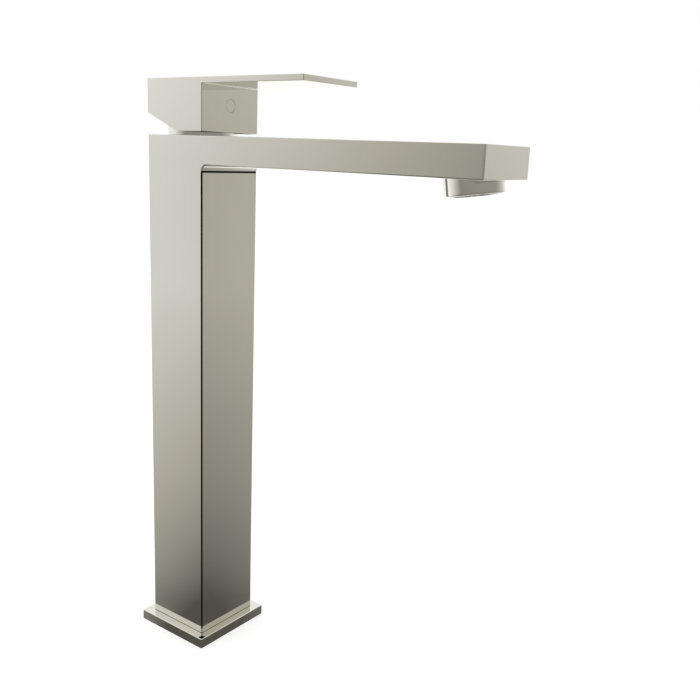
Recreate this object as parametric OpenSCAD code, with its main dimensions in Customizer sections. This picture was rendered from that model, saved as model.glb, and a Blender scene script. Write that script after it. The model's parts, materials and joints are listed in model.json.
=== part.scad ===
// Tall single-lever mixer tap for a vessel basin. A square column stands on a square
// plate and carries a long flat spout with a tilted aerator near its tip. A hollow
// handle block with a flat lever sits on a round neck, over a ceramic disc cartridge.
// Millimetres, +Z up, the spout points towards -Y, and the origin is the centre of the
// plate's underside.

/* [Base plate] */
// Width of the base plate's edge that shows round the column
base_overhang = 4.8; // [4.2:0.1:9]
// Thickness of the base plate
base_t = 6; // [5:0.5:9]
// Radius of the base plate's edges
base_edge_r = 0.5; // [0.3:0.1:1]
// Width of the gasket under the plate
gasket_w = 2; // [1.5:0.1:2.2]
// Thickness of the gasket
gasket_t = 1.5; // [1:0.1:2.5]
// Metal left between the plate screws' heads and the gasket's groove
gasket_margin = 0.5; // [0.4:0.1:0.6]

/* [Column and spout] */
// Side of the square column, also the width of the spout and of the handle
column_w = 40.4; // [40.2:0.2:44]
// Wall of the column
column_wall = 3; // [2.4:0.1:3.2]
// Height of the column's and the spout's top above the deck
body_h = 281.6; // [200:0.2:360]
// Thickness of the column's roof, which the cartridge neck passes through
roof_t = 2.5; // [2:0.1:3]
// Reach of the spout's tip from the column's axis
spout_reach = 178.7; // [120:0.1:220]
// Height of the spout
spout_h = 14.25; // [14:0.05:17]
// Wall of the spout
spout_wall = 2; // [1.6:0.1:2.2]
// Radius of the column's and the spout's edges
body_edge_r = 0.8; // [0.4:0.1:1.2]
// Radius of the inner corner between spout and column
fillet_r = 3.5; // [2:0.1:6]

/* [Foot and inlets] */
// Height of the brass foot block inside the column
foot_h = 24; // [20:1:40]
// Diameter of the foot block's spigot, which centres the plate
spigot_d = 30; // [28:0.5:31]
// Depth of the spigot's face above the deck
spigot_recess = 0.5; // [0.2:0.1:1]
// Diameter of the tapped inlet holes, for M10 x 1 hose tails
inlet_d = 9; // [8.5:0.1:9.2]
// Depth of the tapped inlet holes
inlet_depth = 12; // [10:0.5:14]
// Distance of each inlet and supply tube from the middle plane
inlet_x = 7; // [6.6:0.1:7.4]
// Distance of the inlets and supply tubes in front of the column's axis
inlet_y = 4; // [3.5:0.1:5]
// Diameter of the tapped hole for the M8 fixing stud
stud_d = 6.8; // [6:0.1:7]
// Depth of the stud's hole
stud_depth = 16; // [12:0.5:18]
// Distance of the stud behind the column's axis
stud_y = 8.5; // [8:0.1:9.5]

/* [Plate screws] */
// Diameter of the countersunk screws that hold the plate
plate_screw_d = 3; // [2.5:0.5:3]
// Head diameter of these screws
plate_screw_head_d = 5.2; // [4.4:0.1:5.4]
// Head height of these screws
plate_screw_head_h = 1.6; // [1.4:0.1:2]
// Length of these screws below the head
plate_screw_l = 12; // [8:1:16]
// Distance of these screws from the foot block's sides
plate_screw_inset = 3.85; // [3.6:0.05:4.2]

/* [Water tubes] */
// Outer diameter of the copper tubes
tube_d = 8; // [7:0.1:8]
// Wall of the copper tubes
tube_wall = 0.8; // [0.6:0.1:1]
// Depth of a supply tube's socket in the foot block and in the valve block
tube_socket = 6; // [5:0.5:7]
// Bore of the waterways in the brass blocks
waterway_d = 6; // [5:0.1:6.2]
// Section diameter of the supply tubes' sealing rings
tube_ring_d = 1.6; // [1.4:0.1:1.7]

/* [Aerator] */
// Distance of the aerator's axis behind the spout's tip, on the spout's underside
aerator_inset = 15.3; // [15.2:0.1:18]
// Forward tilt of the aerator, in degrees
aerator_tilt = 9; // [0:0.5:10]
// Outer diameter of the aerator collar
collar_d = 26.1; // [26:0.1:27]
// Length of the collar below the spout's underside
collar_drop = 7; // [5:0.1:12]
// Diameter of the collar's M24 x 1 thread
collar_thread_d = 24; // [23:0.1:24.4]
// Length of the collar's thread
collar_thread_l = 3; // [2:0.1:3.2]
// Bore of the collar
collar_bore_d = 20.6; // [19.5:0.1:21]
// Width of the lip that holds the insert in the collar
collar_lip = 0.7; // [0.5:0.1:1]
// Length of the brass socket that holds the aerator inside the spout's tip
socket_l = 28.6; // [28:0.1:34]
// Thickness of the aerator's rubber washer
aerator_washer_t = 1.5; // [1:0.1:1.6]
// Diameter of the holes in the aerator's screen
screen_hole_d = 1.6; // [1:0.1:2]
// Pitch of the holes in the aerator's screen
screen_pitch = 2.7; // [2.4:0.1:2.8]

/* [Valve block and neck] */
// Height of solid brass under the cartridge's seat
seat_floor = 18; // [17:0.5:24]
// Wall of the valve block's neck
neck_wall = 1.45; // [1.2:0.05:1.6]
// Height of the cartridge's shoulder above the column's roof
shoulder_h = 4.4; // [4:0.1:5]
// Wall of the bonnet nut
nut_wall = 1.2; // [1:0.05:1.3]
// Thickness of the bonnet nut's flange
nut_flange_t = 2; // [1.5:0.1:2.2]
// Wall of the polished neck ring
ring_wall = 1.26; // [1:0.02:1.3]
// Height of the polished neck ring
ring_h = 8.9; // [8.6:0.1:9.2]
// Rounding of the neck ring's top edge
ring_round_r = 1.5; // [1:0.1:1.8]

/* [Cartridge] */
// Outer diameter of the cartridge
cartridge_d = 28; // [27:0.1:28.2]
// Height of the cartridge from its seat to its shoulder
cartridge_h = 30; // [30:0.1:31]
// Wall of the cartridge housing
housing_wall = 1.6; // [1.4:0.1:1.8]
// Height of the housing's collar above the shoulder
housing_collar_h = 3.5; // [3:0.1:3.8]
// Diameter of the housing's top opening
housing_mouth_d = 20.6; // [20:0.1:21]
// Thickness of the cartridge's port plate
port_plate_t = 4; // [3.8:0.1:4.2]
// Thickness of each ceramic disc
disc_t = 3.8; // [3.4:0.1:4]
// Diameter of the moving disc
moving_disc_d = 19; // [18:0.1:19.2]
// Diameter of the three ports
port_d = 5.4; // [4.6:0.1:5.6]
// Distance of the outlet port behind the cartridge's axis
outlet_y = 5; // [4.6:0.1:5.4]

/* [Lever mechanism] */
// Height of the lever's pivot above the column's roof
pivot_h = 3.4; // [3.2:0.1:3.6]
// Diameter of the pivot pin
pivot_pin_d = 3; // [2.4:0.1:3.2]
// Side of the square stem
stem_w = 8; // [7.6:0.1:8]
// Length of the stem above the pivot
stem_up = 18.9; // [17:0.1:19.2]
// Distance of the stem's ball tip below the pivot
stem_arm = 9; // [8.8:0.1:9.1]
// Diameter of the stem's ball tip
ball_d = 4.6; // [4:0.1:4.8]
// Largest lift of the lever, in degrees
lever_lift_max = 25; // [20:1:25]

/* [Handle] */
// Gap between the column's roof and the handle block
handle_gap = 2; // [1.9:0.1:3]
// Height of the handle block
handle_h = 26.1; // [26:0.1:30]
// Wall of the hollow handle block
handle_wall = 1.3; // [1.1:0.05:1.3]
// Thickness of the lever, also of the handle block's top
lever_t = 3; // [2.4:0.1:3.2]
// Reach of the lever's tip from the column's axis
lever_reach = 85.4; // [60:0.1:110]
// Height of the slope under the back of the handle block
slope_h = 8.8; // [8.6:0.1:9.4]
// Depth of the slope under the back of the handle block
slope_l = 21.3; // [20:0.1:22]
// Radius of the handle's edges
handle_edge_r = 0.4; // [0.2:0.1:0.6]
// Side of the square hub around the stem
hub_w = 13; // [12:0.1:13]
// Diameter of the set screw that clamps the stem
set_screw_d = 4; // [3:0.5:4]
// Height of the set screw above the handle block's lower edge
set_screw_h = 13.4; // [13.2:0.1:14.4]
// Diameter of the round plug that covers the set screw
plug_d = 6.6; // [5:0.1:9]

/* [Fits] */
// Gap between pieces that are seated in each other
seat_gap = 0.05; // [0.03:0.01:0.06]
// Radial clearance of pieces that turn in each other
run_gap = 0.08; // [0.05:0.01:0.1]
// Room round pieces that move past each other
free_gap = 0.3; // [0.25:0.05:0.35]

/* [Hidden] */
$fn = 96;
cut = 1;

nickel = [0.78, 0.76, 0.71];
brass = [0.80, 0.66, 0.36];
copper = [0.78, 0.47, 0.33];
steel = [0.68, 0.69, 0.70];
rubber = [0.12, 0.12, 0.12];
ceramic = [0.93, 0.93, 0.90];
pale_plastic = [0.88, 0.88, 0.85];
grey_plastic = [0.45, 0.47, 0.50];

// Column, its cavity and the blocks inside it
half_w = column_w / 2;
cavity_w = column_w - 2 * column_wall;
cavity_corner_r = column_wall / 3;
block_w = cavity_w - 2 * seat_gap;
roof_z = body_h - roof_t;
spout_z = body_h - spout_h;
spout_mid_z = body_h - spout_h / 2;

// Foot block, plate screws and supply tubes
foot_top = base_t + foot_h;
foot_socket_z = foot_top - tube_socket;
plate_screw_at = block_w / 2 - plate_screw_inset;
head_recess = 0.3;
base_w = column_w + 2 * base_overhang;
gasket_inner_r = plate_screw_at * sqrt(2) + plate_screw_head_d / 2 + gasket_margin;
gasket_outer_r = gasket_inner_r + gasket_w;

// Cartridge levels, from the seat to the shoulder
shoulder_z = body_h + shoulder_h;
seat_z = shoulder_z - cartridge_h;
block_z = seat_z - seat_floor;
block_socket_z = block_z + tube_socket;
plate_top_z = seat_z + port_plate_t;
rim_h = disc_t / 2;
rim_z = plate_top_z + rim_h;
fixed_disc_top = plate_top_z + disc_t;
film = seat_gap / 2;
moving_disc_z = fixed_disc_top + film;
carrier_z = moving_disc_z + disc_t;

// Radii from the cartridge outwards to the neck ring
housing_r = cartridge_d / 2;
bore_r = housing_r + seat_gap;
neck_r = bore_r + neck_wall;
nut_r = neck_r + seat_gap + nut_wall;
ring_r = nut_r + seat_gap + ring_wall;
housing_bore_r = housing_r - housing_wall;
housing_top = shoulder_z + housing_collar_h;
collar_step = housing_wall;
fixed_disc_r = housing_bore_r - 2 * free_gap;
housing_ring_d = 1;
housing_ring_z = shoulder_z - 2.8 * housing_ring_d;
neck_seal_d = 0.6;
neck_seal_z = body_h + ring_h / 4;

// Seals round the ports, and the pins that stop the cartridge from turning
seal_w = 1.1;
seal_t = 1.5;
locating_d = 2.8;
locating_h = 2.5;
locating_x = 9.5;
locating_y = 6.5;

// Outlet channel from the cartridge's seat up to the spout
channel_w = 12;
channel_d = 3;
channel_front = bore_r + 0.75 * neck_wall;
tunnel_d = 5;
channel_drop = 8;
channel_z = seat_z - channel_drop;
tunnel_z = channel_z + waterway_d / 2;

// Pivot, ball tip and the parts that the stem moves
pivot_z = body_h + pivot_h;
ball_z = pivot_z - stem_arm;
disc_travel = stem_arm * sin(lever_lift_max);
disc_y = disc_travel / 2;
carrier_flange_h = 4.5;
boss_d = 12;
boss_down = 6.5;
boss_top = pivot_z - boss_down;
ball_room = 0.2;
arm_w = 2.4;
guide_z = boss_top + free_gap;
guide_flange_top = shoulder_z - housing_wall - film;
guide_top = housing_top - ball_room;
guide_neck_r = housing_mouth_d / 2 - run_gap;

// Handle levels
handle_z = body_h + handle_gap;
handle_top = handle_z + handle_h;
lever_z = handle_top - lever_t;
handle_cavity_w = column_w - 2 * handle_wall;
set_screw_z = handle_z + set_screw_h;
set_screw_cover = 0.8;
hub_z = set_screw_z - set_screw_d / 2 - set_screw_cover;

// Aerator, along its own axis from the spout's underside
screen_t = 0.4;
aerator_reach = spout_reach - aerator_inset;
collar_rise = collar_d / 2 * sin(aerator_tilt);
collar_head_up = spout_wall + collar_rise / 4;
thread_top = collar_head_up + collar_thread_l;
chamber_z = thread_top + aerator_washer_t;
chamber_top = spout_h - 2 * spout_wall - screen_t;
insert_top = thread_top - collar_thread_l / 2;
socket_front = spout_reach - spout_wall - seat_gap;
socket_back = socket_front - socket_l;
spout_tube_socket = 2.5;
block_tube_socket = 1;

// Flat outline of w by d with its corners rounded to r
module rounded_square(w, d, r) {
    square([w - 2 * r, d], center = true);
    square([w, d - 2 * r], center = true);
    for (x = [-1, 1], y = [-1, 1])
        translate([x * (w / 2 - r), y * (d / 2 - r)]) circle(r = r, $fn = 48);
}

// Box with every edge rounded, centred in X and Y on its base
module rounded_box(w, d, h, r) {
    intersection() {
        linear_extrude(h) rounded_square(w, d, r);
        translate([0, d / 2 + cut, h / 2]) rotate([90, 0, 0])
            linear_extrude(d + 2 * cut) rounded_square(w, h, r);
        translate([-w / 2 - cut, 0, h / 2]) rotate([90, 0, 90])
            linear_extrude(w + 2 * cut) rounded_square(d, h, r);
    }
}

// Plain box that is centred in X and Y on its base
module plain_box(w, d, h) {
    translate([-w / 2, -d / 2, 0]) cube([w, d, h]);
}

// Upright tube
module tube(r, inner_r, h) {
    difference() {
        cylinder(r = r, h = h);
        translate([0, 0, -cut]) cylinder(r = inner_r, h = h + 2 * cut);
    }
}

// Ring of round section that lies flat round a shaft of radius r
module sealing_ring(r, section_d) {
    rotate_extrude() translate([r + seat_gap + section_d / 2, 0])
        circle(d = section_d, $fn = 32);
}

// Room that a sealing ring needs in the wall round its shaft
module ring_groove(r, section_d) {
    h = section_d + 2 * seat_gap;
    translate([0, 0, -h / 2]) cylinder(r = r + section_d + 2 * seat_gap, h = h);
}

// Upright positions of both supply lines
module at_inlets() {
    for (x = [-inlet_x, inlet_x]) translate([x, -inlet_y, 0]) children();
}

// All three ports of the cartridge
module at_ports() {
    at_inlets() children();
    translate([0, outlet_y, 0]) children();
}

// The aerator's own axes: +Z up the tilted axis, zero on the spout's underside
module on_aerator_axis() {
    translate([0, -aerator_reach, spout_z]) rotate([-aerator_tilt, 0, 0]) children();
}

// Column, spout and the rounded corner between them
module body_outside() {
    reach = spout_reach + half_w;
    translate([0, 0, base_t]) linear_extrude(spout_mid_z - base_t)
        rounded_square(column_w, column_w, body_edge_r);
    translate([0, half_w - reach / 2, spout_z])
        rounded_box(column_w, reach, spout_h, body_edge_r);
    corner_r = (fillet_r + body_edge_r) * sqrt(2);
    depth = corner_r - fillet_r;
    translate([0, -half_w - fillet_r, spout_z - fillet_r]) rotate([90, 0, 90])
        rotate_extrude(angle = 90) {
            translate([fillet_r + body_edge_r, -half_w]) square([depth - body_edge_r, column_w]);
            translate([fillet_r, body_edge_r - half_w])
                square([depth, column_w - 2 * body_edge_r]);
            for (y = [-1, 1])
                translate([fillet_r + body_edge_r, y * (half_w - body_edge_r)])
                    circle(r = body_edge_r, $fn = 48);
        }
}

// Hollow brass shell of column and spout
module body() {
    spout_cavity_l = spout_reach - spout_wall - half_w;
    color(nickel) difference() {
        body_outside();
        translate([0, 0, base_t - cut]) linear_extrude(roof_z - base_t + cut)
            rounded_square(cavity_w, cavity_w, cavity_corner_r);
        translate([0, -half_w - spout_cavity_l / 2, spout_z + spout_wall])
            plain_box(column_w - 2 * spout_wall, spout_cavity_l, spout_h - 2 * spout_wall);
        translate([0, 0, roof_z - cut]) cylinder(r = neck_r + seat_gap, h = roof_t + 2 * cut);
        translate([0, -half_w + column_wall + cut, spout_mid_z]) rotate([90, 0, 0])
            cylinder(d = tube_d + 2 * seat_gap, h = column_wall + 2 * cut);
        on_aerator_axis() translate([0, 0, -collar_rise - cut])
            cylinder(d = collar_d + free_gap, h = spout_wall + 2 * (collar_rise + cut));
    }
}

// Places of the four plate screws
module at_plate_screws() {
    for (x = [-1, 1], y = [-1, 1])
        translate([x * plate_screw_at, y * plate_screw_at, 0]) children();
}

// One countersunk screw, head down, as a solid of revolution
module countersunk_screw(extra_r) {
    r = plate_screw_d / 2 + extra_r;
    head_r = plate_screw_head_d / 2 + extra_r;
    rotate_extrude() polygon([[0, 0], [head_r, 0], [r, plate_screw_head_h],
        [r, plate_screw_head_h + plate_screw_l], [0, plate_screw_head_h + plate_screw_l]]);
}

// Square plate that hides the hole in the deck
module base_plate() {
    color(nickel) difference() {
        rounded_box(base_w, base_w, base_t, base_edge_r);
        translate([0, 0, -cut]) cylinder(d = spigot_d + 2 * seat_gap, h = base_t + 2 * cut);
        translate([0, 0, -cut]) tube(gasket_outer_r, gasket_inner_r, gasket_t + cut);
        at_plate_screws() {
            translate([0, 0, head_recess]) countersunk_screw(seat_gap);
            translate([0, 0, -cut])
                cylinder(d = plate_screw_head_d + 2 * seat_gap, h = head_recess + cut);
        }
    }
}

// Flat rubber gasket in the groove under the plate
module base_gasket() {
    color(rubber) tube(gasket_outer_r - seat_gap, gasket_inner_r + seat_gap,
        gasket_t - seat_gap);
}

// Countersunk screws with a cross recess, from the plate into the foot block
module plate_screws() {
    slot_w = plate_screw_d / 4;
    slot_l = plate_screw_d;
    slot_t = plate_screw_head_h / 2;
    color(steel) at_plate_screws() translate([0, 0, head_recess]) difference() {
        countersunk_screw(0);
        for (a = [0, 90]) rotate([0, 0, a]) translate([0, 0, -cut])
            plain_box(slot_w, slot_l, slot_t + cut);
    }
}

// Brass block in the column's foot, with the inlets and the hole for the fixing stud
module foot_block() {
    color(brass) difference() {
        union() {
            translate([0, 0, base_t]) linear_extrude(foot_h)
                rounded_square(block_w, block_w, cavity_corner_r);
            translate([0, 0, spigot_recess]) cylinder(d = spigot_d, h = base_t);
        }
        at_inlets() {
            translate([0, 0, spigot_recess - cut]) cylinder(d = inlet_d, h = inlet_depth + cut);
            translate([0, 0, spigot_recess]) cylinder(d = waterway_d, h = foot_top);
            translate([0, 0, foot_socket_z])
                cylinder(d = tube_d + 2 * seat_gap, h = tube_socket + cut);
            translate([0, 0, foot_top - tube_socket / 2]) ring_groove(tube_d / 2, tube_ring_d);
        }
        translate([0, stud_y, spigot_recess - cut]) cylinder(d = stud_d, h = stud_depth + cut);
        at_plate_screws() translate([0, 0, head_recess]) countersunk_screw(seat_gap);
    }
}

// Copper tube from the foot block up to the valve block
module supply_tube(side) {
    color(copper) translate([side * inlet_x, -inlet_y, foot_socket_z])
        tube(tube_d / 2, tube_d / 2 - tube_wall, block_socket_z - foot_socket_z);
}

module hot_supply_tube() { supply_tube(-1); }

module cold_supply_tube() { supply_tube(1); }

// Sealing rings at both ends of both supply tubes
module supply_tube_rings() {
    color(rubber) at_inlets()
        for (z = [foot_top - tube_socket / 2, block_z + tube_socket / 2])
            translate([0, 0, z]) sealing_ring(tube_d / 2, tube_ring_d);
}

// Places of the two pins that stop the cartridge from turning
module at_locating_pins() {
    for (x = [-1, 1]) translate([x * locating_x, locating_y, seat_z]) children();
}
// Brass block in the column's head that seats the cartridge, with its threaded neck
module valve_block() {
    color(brass) difference() {
        union() {
            translate([0, 0, block_z]) linear_extrude(roof_z - block_z)
                rounded_square(block_w, block_w, cavity_corner_r);
            translate([0, 0, block_z]) cylinder(r = neck_r, h = shoulder_z - block_z);
        }
        translate([0, 0, seat_z]) cylinder(r = bore_r, h = cartridge_h + cut);
        at_inlets() {
            translate([0, 0, block_z - cut])
                cylinder(d = tube_d + 2 * seat_gap, h = tube_socket + cut);
            translate([0, 0, block_z]) cylinder(d = waterway_d, h = seat_floor + cut);
            translate([0, 0, block_z + tube_socket / 2]) ring_groove(tube_d / 2, tube_ring_d);
        }
        translate([0, outlet_y, channel_z])
            cylinder(d = waterway_d, h = seat_z - channel_z + cut);
        translate([0, outlet_y, tunnel_z]) rotate([90, 0, 0])
            cylinder(d = tunnel_d, h = outlet_y + channel_front - channel_d / 2);
        translate([0, -channel_front + channel_d / 2, channel_z])
            plain_box(channel_w, channel_d, spout_mid_z + tube_d / 2 - channel_z);
        translate([0, -channel_front + channel_d / 2, spout_mid_z]) rotate([90, 0, 0])
            cylinder(d = waterway_d, h = block_w / 2);
        translate([0, -block_w / 2 + block_tube_socket, spout_mid_z]) rotate([90, 0, 0])
            cylinder(d = tube_d + 2 * seat_gap, h = block_tube_socket + cut);
        at_locating_pins() translate([0, 0, -locating_h - seat_gap])
            cylinder(d = locating_d + 2 * seat_gap, h = locating_h + cut);
        translate([0, 0, housing_ring_z]) ring_groove(bore_r, housing_ring_d);
    }
}

// Copper tube from the valve block to the aerator's socket
module spout_tube() {
    front = socket_back + spout_tube_socket;
    back = block_w / 2 - block_tube_socket;
    color(copper) translate([0, -back, spout_mid_z]) rotate([90, 0, 0])
        tube(tube_d / 2, tube_d / 2 - tube_wall, front - back);
}

// Brass piece in the spout's tip that the aerator screws into
module aerator_socket() {
    h = spout_h - 2 * spout_wall - 2 * seat_gap;
    w = column_w - 2 * spout_wall - 2 * seat_gap;
    color(brass) difference() {
        translate([0, -socket_front + socket_l / 2, spout_z + spout_wall + seat_gap])
            plain_box(w, socket_l, h);
        on_aerator_axis() {
            translate([0, 0, -spout_wall])
                cylinder(d = collar_d + free_gap, h = spout_wall + collar_head_up + seat_gap);
            cylinder(d = collar_thread_d, h = chamber_z);
            cylinder(d = collar_bore_d, h = chamber_top);
        }
        translate([0, -socket_back + cut, spout_mid_z]) rotate([90, 0, 0]) {
            cylinder(d = tube_d + 2 * seat_gap, h = spout_tube_socket + cut);
            cylinder(d = waterway_d, h = socket_l / 3);
        }
    }
}

// Threaded collar of the aerator, polished where it shows below the spout
module aerator_collar() {
    r = collar_d / 2;
    thread_r = collar_thread_d / 2 - seat_gap;
    inner_r = collar_bore_d / 2;
    edge = collar_lip;
    color(nickel) on_aerator_axis() rotate_extrude() {
        translate([inner_r - collar_lip, -collar_drop])
            square([r - inner_r + collar_lip - edge, edge]);
        translate([inner_r, edge - collar_drop])
            square([r - inner_r, collar_drop - edge + collar_head_up]);
        translate([inner_r, 0]) square([thread_r - inner_r, thread_top]);
        translate([r - edge, edge - collar_drop]) circle(r = edge, $fn = 32);
    }
}

// Rubber washer between collar and socket
module aerator_washer() {
    color(rubber) on_aerator_axis() translate([0, 0, thread_top + seat_gap / 2])
        tube(collar_thread_d / 2 - 2 * seat_gap, collar_bore_d / 2 - collar_lip,
            aerator_washer_t - seat_gap);
}

// Plastic flow straightener inside the collar
module aerator_insert() {
    r = collar_bore_d / 2 - seat_gap;
    low = collar_lip + screen_t + 2 * seat_gap - collar_drop;
    jets = 12;
    jet_r = r / 8;
    color(pale_plastic) on_aerator_axis() translate([0, 0, low]) difference() {
        cylinder(r = r, h = insert_top - low);
        for (i = [1 : jets]) rotate([0, 0, i * 360 / jets]) translate([r * 0.7, 0, -cut])
            cylinder(r = jet_r, h = insert_top - low + 2 * cut, $fn = 24);
        translate([0, 0, -cut]) cylinder(r = r / 3, h = insert_top - low + 2 * cut, $fn = 48);
    }
}

// Perforated steel screen at the aerator's mouth
module aerator_screen() {
    rings = 3;
    color(steel) on_aerator_axis() translate([0, 0, collar_lip + seat_gap - collar_drop])
        difference() {
            cylinder(r = collar_bore_d / 2 - seat_gap, h = screen_t);
            translate([0, 0, -cut]) {
                cylinder(d = screen_hole_d, h = screen_t + 2 * cut, $fn = 24);
                for (ring = [1 : rings], i = [1 : 6 * ring])
                    rotate([0, 0, i * 60 / ring]) translate([ring * screen_pitch, 0, 0])
                        cylinder(d = screen_hole_d, h = screen_t + 2 * cut, $fn = 24);
            }
        }
}

// Port plate of the cartridge, with two locating pins and a rim round the fixed disc
module cartridge_base() {
    color(grey_plastic) difference() {
        union() {
            translate([0, 0, seat_z]) cylinder(r = housing_r, h = port_plate_t + rim_h);
            at_locating_pins() translate([0, 0, -locating_h]) cylinder(d = locating_d, h = locating_h);
        }
        translate([0, 0, plate_top_z]) cylinder(r = fixed_disc_r + seat_gap, h = rim_h + cut);
        at_ports() {
            translate([0, 0, seat_z - cut]) cylinder(d = port_d, h = cartridge_h);
            translate([0, 0, plate_top_z - seal_t])
                cylinder(r = port_d / 2 + seal_w + seat_gap, h = seal_t + cut);
        }
        at_inlets() translate([0, 0, seat_z - cut])
            cylinder(r = port_d / 2 + seal_w + seat_gap, h = seal_t + cut);
    }
}

// Flat rubber seal round one port
module port_seal(z) {
    translate([0, 0, z]) tube(port_d / 2 + seal_w, port_d / 2 + seat_gap, seal_t - seat_gap);
}

// Seals between the two inlet ports and the valve block
module inlet_seals() {
    color(rubber) at_inlets() port_seal(seat_z);
}

// Seals between the three ports and the fixed disc
module disc_seals() {
    color(rubber) at_ports() port_seal(plate_top_z - seal_t + seat_gap);
}

// Ceramic disc that stays still, with the three ports
module fixed_disc() {
    color(ceramic) difference() {
        translate([0, 0, plate_top_z]) cylinder(r = fixed_disc_r, h = disc_t);
        at_ports() translate([0, 0, plate_top_z - cut]) cylinder(d = port_d, h = disc_t + 2 * cut);
    }
}

// Ceramic disc that slides, with the mixing pocket in its underside
module moving_disc() {
    pocket_w = 2 * (inlet_x + port_d / 4);
    pocket_d = outlet_y + port_d / 2;
    pocket_t = disc_t / 2;
    color(ceramic) difference() {
        translate([0, disc_y, moving_disc_z]) cylinder(d = moving_disc_d, h = disc_t);
        intersection() {
            translate([0, pocket_d / 2, moving_disc_z - cut])
                plain_box(pocket_w, pocket_d, pocket_t + cut);
            translate([0, disc_y, moving_disc_z - cut])
                cylinder(r = moving_disc_d / 2 - seal_w, h = pocket_t + cut);
        }
    }
}

// Plastic carrier on the moving disc, with the slot that the stem's ball moves
module disc_carrier() {
    slot_w = ball_d + 2 * ball_room;
    color(grey_plastic) difference() {
        union() {
            translate([0, disc_y, carrier_z]) cylinder(d = moving_disc_d, h = carrier_flange_h);
            translate([0, 0, carrier_z]) cylinder(d = boss_d, h = boss_top - carrier_z);
        }
        translate([0, 0, ball_z - ball_d / 2 - ball_room]) plain_box(slot_w, slot_w, cartridge_h);
    }
}

// Plastic housing of the cartridge
module cartridge_housing() {
    color(pale_plastic) difference() {
        union() {
            translate([0, 0, rim_z]) cylinder(r = housing_r, h = shoulder_z - rim_z);
            translate([0, 0, rim_z])
                cylinder(r = housing_r - collar_step, h = housing_top - rim_z);
        }
        translate([0, 0, rim_z - cut])
            cylinder(r = housing_bore_r, h = shoulder_z - housing_wall - rim_z + cut);
        translate([0, 0, rim_z]) cylinder(d = housing_mouth_d, h = cartridge_h + housing_collar_h);
    }
}

// Sealing ring between the cartridge and the neck
module housing_ring() {
    color(rubber) translate([0, 0, housing_ring_z]) sealing_ring(housing_r, housing_ring_d);
}

// Plastic guide that turns in the housing and carries the pivot pin
module rotary_guide() {
    slot_w = stem_w + 2 * free_gap;
    low_front = stem_arm * sin(lever_lift_max) + ball_d / 2 + 3 * free_gap;
    low_back = stem_w / 2 + 3 * free_gap;
    high_back = stem_w / 2 + (guide_top - pivot_z) * tan(lever_lift_max) + 3 * free_gap;
    high_front = stem_w / 2 + 2 * free_gap;
    color(pale_plastic) difference() {
        union() {
            translate([0, 0, guide_z])
                cylinder(r = housing_bore_r - free_gap, h = guide_flange_top - guide_z);
            translate([0, 0, guide_z]) cylinder(r = guide_neck_r, h = guide_top - guide_z);
        }
        translate([-slot_w / 2, -low_front, guide_z - cut])
            cube([slot_w, low_front + low_back, pivot_z - guide_z + cut]);
        translate([-slot_w / 2, -high_front, pivot_z - cut])
            cube([slot_w, high_front + high_back, cartridge_h]);
        translate([-housing_r, 0, pivot_z]) rotate([0, 90, 0])
            cylinder(d = pivot_pin_d + 2 * seat_gap, h = 2 * housing_r, $fn = 48);
    }
}

// Steel pin that the lever tilts on
module pivot_pin() {
    l = 2 * (guide_neck_r - free_gap);
    color(steel) translate([-l / 2, 0, pivot_z]) rotate([0, 90, 0])
        cylinder(d = pivot_pin_d, h = l, $fn = 48);
}

// Square steel stem with its pivot bore and its ball tip
module stem() {
    color(steel) difference() {
        union() {
            translate([0, 0, pivot_z - stem_w / 2])
                plain_box(stem_w, stem_w, stem_w / 2 + stem_up);
            translate([0, 0, ball_z]) plain_box(arm_w, arm_w, stem_arm);
            translate([0, 0, ball_z]) sphere(d = ball_d, $fn = 32);
        }
        translate([-stem_w, 0, pivot_z]) rotate([0, 90, 0])
            cylinder(d = pivot_pin_d + 2 * run_gap, h = 2 * stem_w, $fn = 48);
    }
}

// Brass nut that screws over the neck and holds the cartridge down
module bonnet_nut() {
    slots = 4;
    slot_w = 4 * nut_wall;
    top = shoulder_z + nut_flange_t;
    color(brass) difference() {
        translate([0, 0, body_h]) cylinder(r = nut_r, h = top - body_h);
        translate([0, 0, body_h - cut])
            cylinder(r = neck_r + seat_gap, h = shoulder_z - body_h + cut);
        translate([0, 0, shoulder_z])
            cylinder(r = housing_r - collar_step + seat_gap, h = nut_flange_t + cut);
        for (i = [1 : slots]) rotate([0, 0, i * 360 / slots])
            translate([nut_r, 0, top - nut_flange_t / 2]) plain_box(2 * nut_wall, slot_w, nut_flange_t);
    }
}

// Polished ring that shows as the neck under the handle
module neck_ring() {
    inner_r = nut_r + seat_gap;
    lip_r = housing_r - collar_step + free_gap;
    lip_z = shoulder_z + nut_flange_t + seat_gap - body_h;
    color(nickel) translate([0, 0, body_h]) difference() {
        rotate_extrude() {
            square([ring_r, ring_h - ring_round_r]);
            square([ring_r - ring_round_r, ring_h]);
            translate([ring_r - ring_round_r, ring_h - ring_round_r])
                circle(r = ring_round_r, $fn = 48);
        }
        translate([0, 0, -cut]) cylinder(r = inner_r, h = lip_z + cut);
        cylinder(r = lip_r, h = ring_h + cut);
        translate([0, 0, neck_seal_z - body_h]) ring_groove(inner_r, neck_seal_d);
    }
}

// Thin sealing ring that also grips the neck ring on the nut
module neck_ring_seal() {
    color(rubber) translate([0, 0, neck_seal_z]) sealing_ring(nut_r, neck_seal_d);
}

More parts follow.
